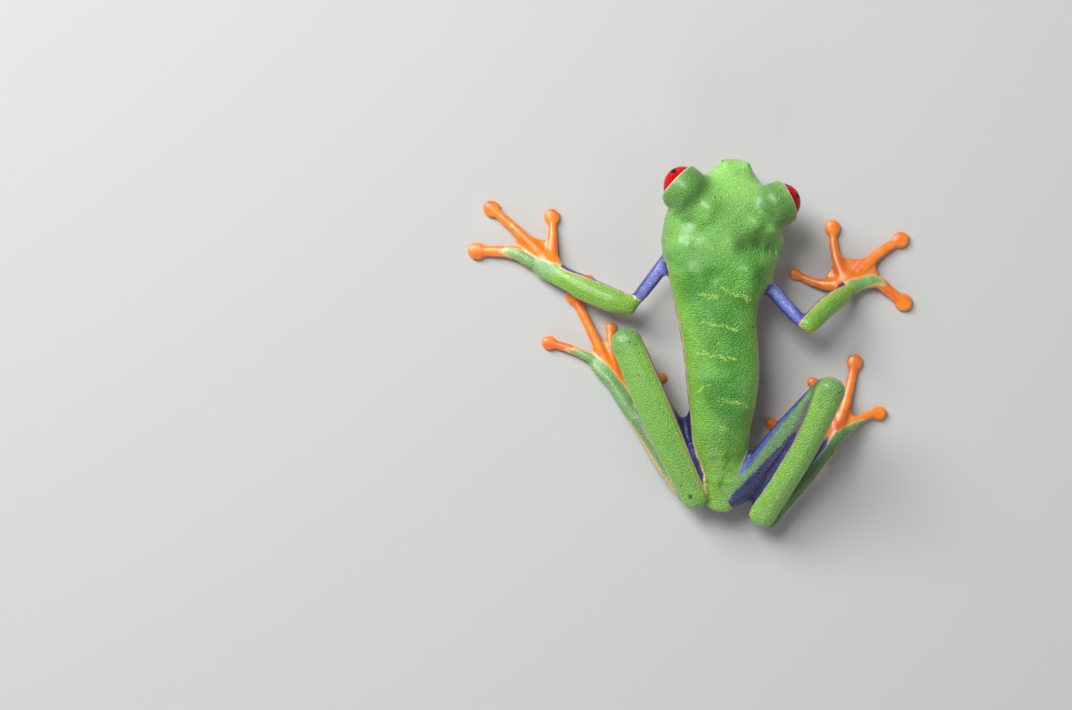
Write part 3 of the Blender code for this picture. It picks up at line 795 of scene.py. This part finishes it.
def torso_fields(points, solid):
    """Green back, barred flanks and pale belly."""
    edge = widest_height(solid, points[:, 1])
    rise = np.where(points[:, 0] < BACK_MIDDLE, *FLANK_RISES) * smooth_step(-21, -14, points[:, 1])
    return {
        "green_edge": (points[:, 2] - edge - rise) / 2,
        "yellow_share": 0.45 * smooth_step(-15, -21, points[:, 1]),
        "pale_edge": BELLY_HEIGHT - points[:, 2],
        "flank_share": smooth_step(-9.5, -7.5, points[:, 1]),
    }


def head_fields(points):
    """Green down to the upper lip, and pale under the mouth, with a painted sheen that makes the whole
    head's green paler.
    """
    mouth = mouth_height((points - np.array(NECK)) @ np.array(FORWARD))
    return {
        "green_edge": points[:, 2] - (mouth + LIP_GREEN),
        "pale_edge": mouth + CHIN_PALE - points[:, 2],
        "line_share": 0.8,
        # Painted sheen on the head.
        "pale_and_sheen_share": 0.45,
        "fine_share": 0.6,
    }


def limb_green(name, share, angle, radius):
    """How far inside the green of a limb each point is."""
    kind = kind_of(name)
    if kind == "upper_arm":
        return (share - ELBOW_SHARE) * 8
    near, far = GREEN_STRIPES.get(name) or GREEN_STRIPES[kind]
    inner = near[0] + (far[0] - near[0]) * share
    outer = near[1] + (far[1] - near[1]) * share
    return np.radians(np.minimum(angle - inner, outer - angle)) * radius


def creased_green(green, kind, course_place, beside, lead):
    """Green that also ends where the folded parts of a leg touch, but not round a joint."""
    share, angle, radius = course_place
    first, last = CREASES[kind]
    joint = smooth_step(first + 0.1, first, share) + smooth_step(last, last + 0.1, share)
    crease = np.where(np.isin(beside, list(CREASES)), lead / 2 - 0.2, 3)
    around = np.radians(105 - np.abs(angle)) * radius - 6 * (1 - joint)
    return np.maximum(np.minimum(green, crease + 3 * joint), around)


def limb_fields(name, points, solid, beside, lead):
    """Green stripe along the top of a limb, blue beside it and pale below."""
    kind = kind_of(name)
    side = SIDES[name.rsplit("_", 1)[1]]
    heading = np.array(HEADINGS[kind]) * (side if kind == "forearm" else 1)
    course = Course(solid, heading, OUTWARDS.get(kind, (side, 0, 0)))
    share, angle, radius = course.read(points)
    green = limb_green(name, share, angle, radius)
    if kind in CREASES:
        green = creased_green(green, kind, (share, angle, radius), beside, lead)
    yellow, grey, pale, line = LIMB_LOOKS[kind]
    fields = {
        "green_edge": green,
        "pale_edge": np.radians(np.abs(angle) - PALE_ANGLE) * radius,
        # Painted light from above: a highlight on the top of the limb and shade on its sides.
        "blue_sheen_and_shade": np.cos(np.radians(angle)),
        "yellow_share": yellow,
        "grey_share": grey,
        "pale_and_sheen_share": pale,
        "line_share": line,
        "fine_share": 1,
    }
    if kind == "tarsus":
        fields["line_share"] = line * smooth_step(-10, 20, angle)
    if kind == "shank":
        fields["grey_share"] = 0.6 * smooth_step(0.14, 0, share)
    if kind == "thigh":
        medial = smooth_step(5, -15, angle)
        # Painted highlight beside the inner edge of the green band, and painted shade elsewhere on the
        # thigh.
        fields["blue_sheen_and_shade"] = 1.2 * medial * bell(green + 0.45, 0.4) - 0.1
        fields["grey_share"] = 1 - 0.6 * smooth_step(0.7, 0.98, share)
    return fields


def digit_fields(name, points):
    """Orange hand, foot or digit, with the green of the limb running on over its outer side."""
    kind, side = name.split("_")[:2]
    which = "hand" if kind in ("hand", "finger") else "foot"
    if kind != which and name[-1] != OUTERMOST[which]:
        return {"orange_share": 1, "grain_share": 0}
    ridge = ridge_edge(points, RIDGES[f"{which}_{side}"])
    ridge -= 2 * np.maximum(1.1 - points[:, 2], 0)
    return {
        "orange_share": 1 - smooth_step(-0.5, 0.1, ridge),
        "green_edge": ridge,
        "grain_share": 0.5 * smooth_step(-0.3, 0.4, ridge),
        "yellow_share": 0.2,
        "grey_share": 0.75,
        "pale_and_sheen_share": 0.4,
        "line_share": 1.6,
    }


def paint_skin(frame, names, surface):
    """Write the fields that the skin's material reads."""
    points = surface.points
    owner, other, lead = nearest_solids(frame, names, points, 1.2)
    kinds = np.array([kind_of(name) for name in names])
    fields = {field: np.full(len(points), start) for field, (start, _) in FIELDS.items()}
    for index, name in enumerate(names):
        mine = owner == index
        here = points[mine]
        if name == "torso":
            values = torso_fields(here, solid_points(frame, name))
        elif name == "head":
            values = head_fields(here)
        elif kinds[index] in HEADINGS:
            solid = solid_points(frame, name)
            values = limb_fields(name, here, solid, kinds[other[mine]], lead[mine])
        else:
            values = digit_fields(name, here)
        for field, value in values.items():
            fields[field][mine] = value
    for field, (_, rounds) in FIELDS.items():
        surface.store(field, surface.blur(fields[field], rounds))
    # Painted shadow where the folded parts of a leg touch.
    folded = np.isin(kinds[owner], list(CREASES)) & np.isin(kinds[other], list(CREASES))
    surface.store("crease", surface.blur(folded * smooth_step(0.7, 0.0, lead), 2))
    surface.store("dip_shade", surface.blur(dip_shade(points), 6))
    surface.store("dome_tint_and_shade", dome_tint_and_shade(surface))
    # Concave skin: painted shade in the green, and painted highlight and sheen on the orange.
    bent = surface.mean(points) - points
    surface.store("hollow", surface.blur(np.einsum("ij,ij->i", bent, surface.normals()), 6))


def dip_shade(points):
    """1 at the bottom of the hollows of the back, where less light falls: painted shade."""
    share = np.zeros(len(points))
    for x, y, reach, rise in FORMS:
        if rise < 0:
            share += -rise * bell(far_from(points[:, :2], (x, y)), reach) * (points[:, 2] > 7)
    return np.clip(share, 0, 1)


def dome_tint_and_shade(surface):
    """1 on the domes of the eyes, which are painted darker than the rest of the head: partly their own
    darker green, partly painted shade.
    """
    share = np.zeros(len(surface.points))
    for side in SIDES:
        _, far, ahead = around_eye(surface.points, side)
        share = np.maximum(share, smooth_step(4.4, 3.3, far) * smooth_step(1.3, 0.1, ahead))
    return surface.blur(share, 12)


class Nodes:
    """Node tree, with a short call for each kind of node."""

    def __init__(self, tree):
        self.tree = tree

    def set(self, socket, value):
        if isinstance(value, bpy.types.NodeSocket):
            self.tree.links.new(value, socket)
        else:
            socket.default_value = value

    def put(self, kind, **inputs):
        node = self.tree.nodes.new(kind)
        for name, value in inputs.items():
            self.set(node.inputs[name.replace("_", " ")], value)
        return node

    def math(self, operation, first, second=0.0, third=0.0):
        node = self.tree.nodes.new("ShaderNodeMath")
        node.operation = operation
        for socket, value in zip(node.inputs, (first, second, third)):
            self.set(socket, value)
        return node.outputs[0]

    def plus(self, first, second):
        return self.math("ADD", first, second)

    def minus(self, first, second):
        return self.math("SUBTRACT", first, second)

    def times(self, first, second):
        return self.math("MULTIPLY", first, second)


class Paint(Nodes):
    """Material, with its places in millimetres."""

    def __init__(self, name):
        self.material = bpy.data.materials.new(name)
        self.material.use_nodes = True
        super().__init__(self.material.node_tree)
        self.shader = self.tree.nodes["Principled BSDF"]
        place = self.tree.nodes.new("ShaderNodeTexCoord").outputs["Object"]
        self.place = self.stretch((1 / MM,) * 3, place)

    def attribute(self, name, output="Fac"):
        node = self.tree.nodes.new("ShaderNodeAttribute")
        node.attribute_name = name
        return node.outputs[output]

    def step(self, value, low, high, bottom=0.0, top=1.0):
        """Smooth step from one value to another."""
        node = self.put(
            "ShaderNodeMapRange", Value=value, From_Min=low, From_Max=high, To_Min=bottom, To_Max=top
        )
        node.interpolation_type = "SMOOTHSTEP"
        return node.outputs["Result"]

    def mix(self, share, first, second):
        node = self.tree.nodes.new("ShaderNodeMix")
        node.data_type = "RGBA"
        self.set(node.inputs["Factor"], share)
        self.set(node.inputs[6], first)
        self.set(node.inputs[7], second)
        return node.outputs[2]

    def layers(self, colour, *coats):
        """Colours laid over each other, each with its share."""
        for share, over in coats:
            colour = self.mix(share, colour, over)
        return colour

    def blend(self, share, first, second):
        """Mix of two numbers."""
        return self.math("MULTIPLY_ADD", share, self.minus(second, first), first)

    def stretch(self, scale, place=None):
        node = self.put("ShaderNodeMapping", Vector=place or self.place, Scale=scale)
        return node.outputs["Vector"]

    def noise(self, scale, detail=2.0, rough=0.5, place=None):
        node = self.put(
            "ShaderNodeTexNoise", Scale=scale, Detail=detail, Roughness=rough, Vector=place or self.place
        )
        return node.outputs["Fac"]

    def split(self, place=None):
        return self.put("ShaderNodeSeparateXYZ", Vector=place or self.place).outputs

    def far(self, place):
        """Distance from a place."""
        node = self.put("ShaderNodeVectorMath", Vector=self.place)
        node.operation = "DISTANCE"
        node.inputs[1].default_value = place
        return node.outputs["Value"]

    def bump(self, height, strength, distance, below=None):
        node = self.put("ShaderNodeBump", Height=height, Strength=strength, Distance=distance)
        if below:
            self.set(node.inputs["Normal"], below)
        return node.outputs["Normal"]

    def finish(self, **inputs):
        for name, value in inputs.items():
            self.set(self.shader.inputs[name.replace("_", " ")], value)
        return self.material


def green_skin(paint, fields, grains, raised, speck_and_nostril_list):
    """Grained green of the upper side, with its yellow, grey, pale and dark places, and painted shade
    and highlights.
    """
    grey = fields["grey_share"]
    # Painted shade in the valleys between the grains.
    grain_valley_shade = paint.step(grains, 0.1, 0.7, 0.36, 0)
    rim = paint.step(fields["green_edge"], 1.3, 0.1, 0, 0.5)
    stipple = paint.step(paint.noise(4.5, 3, 0.6), 0.5, 0.7, 0, 0.35)
    return paint.layers(
        GREEN,
        (paint.step(paint.noise(0.3, 4), 0.35, 0.7), LIGHT_GREEN),
        # paler green: the limbs' own paler tone, and a painted sheen on the head
        (fields["pale_and_sheen_share"], SNOUT_GREEN),
        (paint.times(fields["yellow_share"], 0.75), YELLOW_GREEN),
        (grey, GREY_GREEN),
        (snout_share(paint), SNOUT_GREEN),
        # darker domes of the eyes: partly their own darker green, partly painted shade
        (paint.times(fields["dome_tint_and_shade"], 0.55), DEEP_GREEN),
        (paint.step(paint.noise(0.6, 5), 0.5, 0.8, 0, 0.3), DEEP_GREEN),
        # painted shade in the valleys between the grains, and a painted highlight on their tops
        (paint.times(grain_valley_shade, fields["grain_share"]), DEEP_GREEN),
        (paint.step(grains, 0.6, 1.0, 0, 0.28), SNOUT_GREEN),
        (paint.times(rim, paint.minus(1.0, grey)), YELLOW_GREEN),
        # painted shade at the bottom of the hollows of the back
        (paint.times(fields["dip_shade"], 0.7), DEEP_GREEN),
        (paint.times(stipple, grey), SPECK_GREEN),
        (paint.times(raised, 0.9), PALE_YELLOW),
        # dark specks, and painted shade in the nostrils
        (specks(paint, speck_and_nostril_list), SPECK_GREEN),
        # painted shade in the hollows and creases of the skin
        (paint.step(fields["hollow"], 0.002, 0.02, 0, 0.6), DEEP_GREEN),
    )


def blue_skin(paint, fields):
    """Blue of the flanks and the limbs, with a painted highlight on the top of each limb, painted shade
    on its lower sides, and the cream bars.
    """
    blue_sheen_and_shade = fields["blue_sheen_and_shade"]
    return paint.layers(
        BLUE,
        (paint.step(paint.noise(0.35, 4), 0.3, 0.75, 0, 0.6), DARK_BLUE),
        # painted shade on the lower sides, and a painted highlight on the top
        (paint.step(blue_sheen_and_shade, 0.6, -0.1, 0, 0.85), DARK_BLUE),
        (paint.step(blue_sheen_and_shade, 0.6, 0.98, 0, 0.8), PERIWINKLE),
        (paint.times(flank_bars(paint), fields["flank_share"]), CREAM),
    )


def orange_skin(paint, hollow):
    """Orange of the hands and the feet, with a painted highlight on their edges and a painted pink sheen
    in their hollows.
    """
    return paint.layers(
        ORANGE,
        (paint.step(paint.noise(0.5, 3), 0.35, 0.75), DEEP_ORANGE),
        # painted highlight on the rounded edges, and painted sheen in the hollows
        (paint.step(hollow, -0.03, -0.004, 0.3, 0), PALE_ORANGE),
        (paint.step(hollow, 0.003, 0.02, 0, 0.45), PALE_PINK),
    )


def skin_material(speck_and_nostril_list):
    """Moist skin, with each colour where the fields put it."""
    paint = Paint("moist_skin")
    names = (*FIELDS, "crease", "dip_shade", "dome_tint_and_shade", "hollow")
    fields = {name: paint.attribute(name) for name in names}
    wobble = paint.math("MULTIPLY_ADD", paint.noise(1.1, 3), 0.5, -0.25)
    edge = paint.plus(fields["green_edge"], paint.times(wobble, 0.5))
    grains = granules(paint, fields["fine_share"])
    raised = paint.times(squiggles(paint), paint.step(grains, 0.1, 0.6, 0.55, 1))

    line = fields["line_share"]
    cream = paint.step(edge, paint.times(line, -0.34), paint.times(line, -0.24))
    blur = paint.math("MULTIPLY_ADD", fields["grey_share"], 0.2, 0.08)
    shown = paint.plus(fields["orange_share"], paint.times(wobble, 0.5))
    base = paint.layers(
        blue_skin(paint, fields),
        (paint.step(fields["pale_edge"], -0.5, 0.7), BELLY),
        (paint.times(cream, paint.math("MINIMUM", line, 1.0)), CREAM),
        (
            paint.step(edge, paint.times(blur, -1.0), blur),
            green_skin(paint, fields, grains, raised, speck_and_nostril_list),
        ),
        # painted shadow in the folds between the leg parts
        (paint.times(fields["crease"], 0.75), DARK_BLUE),
        (paint.step(shown, 0.3, 0.75), orange_skin(paint, fields["hollow"])),
    )
    relief = paint.times(fields["grain_share"], paint.minus(1.0, snout_share(paint, 0.6)))
    height = paint.plus(paint.times(grains, relief), paint.times(raised, 0.8))
    normal = paint.bump(height, 1.0, GRAIN_HEIGHT)
    normal = paint.bump(paint.noise(2.6, 4, 0.6), 0.3, FINE_GRAIN_HEIGHT, normal)
    rough = paint.step(paint.noise(2.5, 3), 0.3, 0.7, 0.3, 0.46)
    return paint.finish(
        Base_Color=base, Roughness=rough, Normal=normal, Specular_IOR_Level=0.5,
        Subsurface_Weight=0.08, Subsurface_Radius=(0.0009, 0.0007, 0.0003), Subsurface_Scale=1.0,
        Coat_Weight=0.8, Coat_Roughness=0.36,
    )


def granules(paint, fine_share):
    """Height of the close-set grains of the skin: drawn out across the body, round on the limbs."""
    warp = paint.put("ShaderNodeTexNoise", Scale=0.9, Detail=3.0, Vector=paint.place)
    bent = paint.put("ShaderNodeVectorMath")
    bent.operation = "MULTIPLY_ADD"
    for socket, value in zip(bent.inputs, (warp.outputs["Color"], (0.3, 0.3, 0.3), paint.place)):
        paint.set(socket, value)
    heights = []
    for scale in ((2.7, 6.0, 4.2), (5.0, 5.0, 5.0)):
        place = paint.stretch(scale, bent.outputs[0])
        cells = paint.put("ShaderNodeTexVoronoi", Vector=place, Scale=1.0)
        cells.feature = "SMOOTH_F1"
        cells.inputs["Smoothness"].default_value = 0.3
        heights.append(paint.step(cells.outputs["Distance"], 0.0, 0.8, 1, 0))
    return paint.blend(fine_share, *heights)


def snout_share(paint, most=0.85):
    """Paler, smoother skin towards the tip of the snout."""
    tip = head_place(0, 13, 9)
    return paint.step(paint.far(tip), 7.5, 2.5, 0, most)


def squiggles(paint):
    """1 on the broken yellowish lines of the back."""
    x, y, _ = paint.split()
    wave = paint.math("MULTIPLY_ADD", paint.noise(0.8, 3, 0.6), 2.4, -1.2)
    patches = paint.step(paint.noise(1.6, 2), 0.34, 0.46)
    total = 0.0
    for start, end in BACK_LINES:
        slope = (end[1] - start[1]) / (end[0] - start[0])
        line = paint.math("MULTIPLY_ADD", x, slope, start[1] - slope * start[0])
        apart = paint.math("ABSOLUTE", paint.plus(paint.minus(y, line), wave))
        sideways = paint.math("ABSOLUTE", paint.minus(x, (start[0] + end[0]) / 2))
        reach = (end[0] - start[0]) / 2
        along = paint.step(sideways, reach + 0.3, reach - 0.2)
        near = paint.times(paint.step(apart, 0.34, 0.1), along)
        total = paint.math("MAXIMUM", total, near)
    return paint.times(total, patches)


def specks(paint, speck_and_nostril_list):
    """Share of the dark specks, and of the painted shade in the openings of the nostrils."""
    total = 0.0
    for place, radius in speck_and_nostril_list:
        speck = paint.step(paint.far(place), radius * 1.3, radius * 0.5)
        total = paint.math("MAXIMUM", total, speck)
    return paint.times(total, 0.85)


def flank_bars(paint):
    """1 on the cream bars of the flanks."""
    _, y, z = paint.split()
    slant = paint.math("MULTIPLY_ADD", z, BAR_SLANT, y)
    bent = paint.math("MULTIPLY_ADD", paint.noise(0.3, 2), 2.0, slant)
    wave = paint.math("SINE", paint.times(bent, 2 * math.pi / BAR_PITCH))
    return paint.step(wave, 0.45, 0.75)


def make_eye(side):
    """Glossy eye, and the thin edge of the lids around it."""
    centre, radius = eye_ball(side)
    pupil = look_of(SIDES[side], PUPIL_FORWARD[side], -PUPIL_UP)
    mesh = bmesh.new()
    bmesh.ops.create_uvsphere(mesh, u_segments=96, v_segments=64, radius=1)
    turn = pupil.to_track_quat("Z", "Y").to_matrix()
    places = []
    for vert in mesh.verts:
        unit = vert.co.normalized()
        places.append(unit)
        bulge = CORNEA_BULGE * max(0, (unit.z - CORNEA_EDGE) / CORNEA_DEPTH) ** 1.2
        vert.co = centre + turn @ unit * (radius + EYE_GROWTH + bulge - EYE_SINK)
    mesh.transform(Matrix.Scale(MM, 4))
    data = bpy.data.meshes.new(f"eye_{side}_ball")
    mesh.to_mesh(data)
    mesh.free()
    local = data.attributes.new("iris_place", "FLOAT_VECTOR", "POINT")
    local.data.foreach_set("vector", np.array(places, np.float32).ravel())
    data.shade_smooth()
    data.materials.append(eye_material(side))
    ball = make_object(f"eye_{side}_ball", data)
    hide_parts(f"eye_{side}")
    return [ball, make_lid_edge(side)]


def eye_material(side):
    """Red iris with fine rays, a dark edge and an upright pupil."""
    paint = Paint(f"eye_{side}")
    place = paint.attribute("iris_place", "Vector")
    across, up, out = paint.split(place)
    narrow = paint.math("ABSOLUTE", paint.math("DIVIDE", across, PUPIL_HALF_WIDTH))
    tall = paint.math("ABSOLUTE", paint.math("DIVIDE", up, PUPIL_HALF_HEIGHT))
    inside = paint.plus(paint.math("POWER", narrow, 1.6), paint.math("POWER", tall, 2.0))
    rays = paint.noise(5.0, 6, 0.65, paint.stretch((2.2, 2.2, 0.4), place))
    red = paint.layers(
        IRIS_RED,
        (paint.step(rays, 0.35, 0.7), IRIS_RAY),
        (paint.step(out, 0.5, 0.28), IRIS_DARK),
        (paint.step(out, 0.3, 0.05), BLACK),
        (paint.step(inside, 1.15, 1.0), BLACK),
    )
    return paint.finish(
        Base_Color=red, Roughness=0.1, Coat_Weight=0.1, Coat_Roughness=0.03, Specular_IOR_Level=0.06,
    )


class Growth(Nodes):
    """Geometry Nodes tree with named sizes."""

    def __init__(self, name, sizes):
        super().__init__(bpy.data.node_groups.new(name, "GeometryNodeTree"))
        sockets = self.tree.interface
        sockets.new_socket("Geometry", in_out="INPUT", socket_type="NodeSocketGeometry")
        self.sizes = sizes
        for size in sizes:
            sockets.new_socket(size, in_out="INPUT", socket_type="NodeSocketFloat")
        sockets.new_socket("Geometry", in_out="OUTPUT", socket_type="NodeSocketGeometry")
        self.inputs = self.tree.nodes.new("NodeGroupInput").outputs

    def finish(self, geometry, material):
        solid = self.put("GeometryNodeRealizeInstances", Geometry=geometry)
        dressed = self.put("GeometryNodeSetMaterial", Geometry=solid.outputs[0], Material=material)
        end = self.tree.nodes.new("NodeGroupOutput")
        self.tree.links.new(dressed.outputs[0], end.inputs[0])

    def mesh(self, name):
        """Plain mesh that the tree makes."""
        thing = make_object(name, bpy.data.meshes.new(name))
        modifier = thing.modifiers.new("growth", "NODES")
        modifier.node_group = self.tree
        for item in self.tree.interface.items_tree:
            if item.in_out == "INPUT" and item.name in self.sizes:
                modifier[item.identifier] = self.sizes[item.name]
        result = plain_result(thing)
        result.name = name
        return result


def rim_growth(side, wide, material):
    """Soft, slightly uneven rim along a circle."""
    growth = Growth(f"lid_rim_{side}", {"Radius": wide, "Half thickness": LID_THICKNESS / 2})
    path = growth.put("GeometryNodeCurvePrimitiveCircle", Resolution=RIM_STEPS)
    growth.tree.links.new(growth.inputs["Radius"], path.inputs["Radius"])
    noise = growth.put("ShaderNodeTexNoise", Scale=0.9, Detail=1.0)
    uneven = growth.math("MULTIPLY_ADD", noise.outputs[0], 0.5, 0.75)
    half = growth.times(growth.inputs["Half thickness"], uneven)
    profile = growth.put("GeometryNodeCurvePrimitiveCircle", Resolution=RIM_SIDES)
    profile.inputs["Radius"].default_value = 1.0
    rim = growth.put(
        "GeometryNodeCurveToMesh", Curve=path.outputs[0], Profile_Curve=profile.outputs[0], Scale=half
    )
    growth.finish(rim.outputs[0], material)
    return growth


def make_lid_edge(side):
    """Thin pale rim that lies on the eye."""
    centre, radius = eye_ball(side)
    look = lid_axis(side)
    wide = math.sqrt((radius + EYE_GROWTH + 0.05) ** 2 - LID_EDGE**2)
    data = rim_growth(side, wide, lid_material(side, centre, look)).mesh(f"lid_edge_{side}")
    turn = look.to_track_quat("Z", "Y").to_matrix().to_4x4()
    data.transform(Matrix.Translation(centre + look * LID_EDGE) @ turn)
    data.transform(Matrix.Scale(MM, 4))
    data.shade_smooth()
    thing = make_object(f"lid_edge_{side}", data)
    return thing


def lid_material(side, centre, look):
    paint = Paint(f"lid_edge_{side}")
    ahead = paint.put("ShaderNodeVectorMath", Vector=paint.place)
    ahead.operation = "DOT_PRODUCT"
    ahead.inputs[1].default_value = look
    plane = centre.dot(look) + LID_EDGE
    inner = paint.step(ahead.outputs["Value"], plane + 0.02, plane + 0.1)
    colour = paint.mix(inner, LID_WHITE, LID_VIOLET)
    mottled = paint.mix(paint.step(paint.noise(3, 3), 0.5, 0.8, 0, 0.3), colour, GREEN)
    return paint.finish(Base_Color=mottled, Roughness=0.3, Coat_Weight=0.5, Coat_Roughness=0.1)


def make_camera():
    data = bpy.data.cameras.new("camera")
    data.lens = CAMERA_LENS
    data.sensor_width = CAMERA_SENSOR
    data.clip_start, data.clip_end = CAMERA_CLIP
    camera = make_object("camera", data)
    camera.location = Vector(CAMERA_PLACE) * MM
    bpy.context.scene.camera = camera


def make_floor():
    data = bpy.data.meshes.new("floor")
    sides = (-FLOOR_REACH, FLOOR_REACH)
    data.from_pydata([(x, y, 0) for x in sides for y in sides], [], [(0, 2, 3, 1)])
    data.materials.append(Paint("plain_floor").finish(Base_Color=FLOOR_GREY, Roughness=0.8))
    make_object("floor", data)


def make_lights():
    for name, place, size, power in LIGHTS:
        data = bpy.data.lights.new(name, "AREA")
        data.shape = "DISK"
        data.size = size
        data.energy = power
        light = make_object(name, data)
        light.location = place
        aim = LIGHT_AIM - Vector(place)
        light.rotation_euler = aim.to_track_quat("-Z", "Y").to_euler()
    world = bpy.data.worlds.new("studio")
    world.use_nodes = True
    background = world.node_tree.nodes["Background"]
    background.inputs["Color"].default_value = SKY_COLOUR
    background.inputs["Strength"].default_value = SKY_STRENGTH
    bpy.context.scene.world = world
    bpy.context.scene.view_settings.view_transform = "Standard"


def main():
    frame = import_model()
    make_camera()
    names = sorted(name for name in frame["nodes"] if not name.startswith("eye_"))
    skin = make_skin(frame, names)
    pieces = [skin]
    for side in SIDES:
        pieces += make_eye(side)
    for piece in pieces:
        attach(piece, "root")
    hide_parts(*names)
    make_floor()
    make_lights()


main()
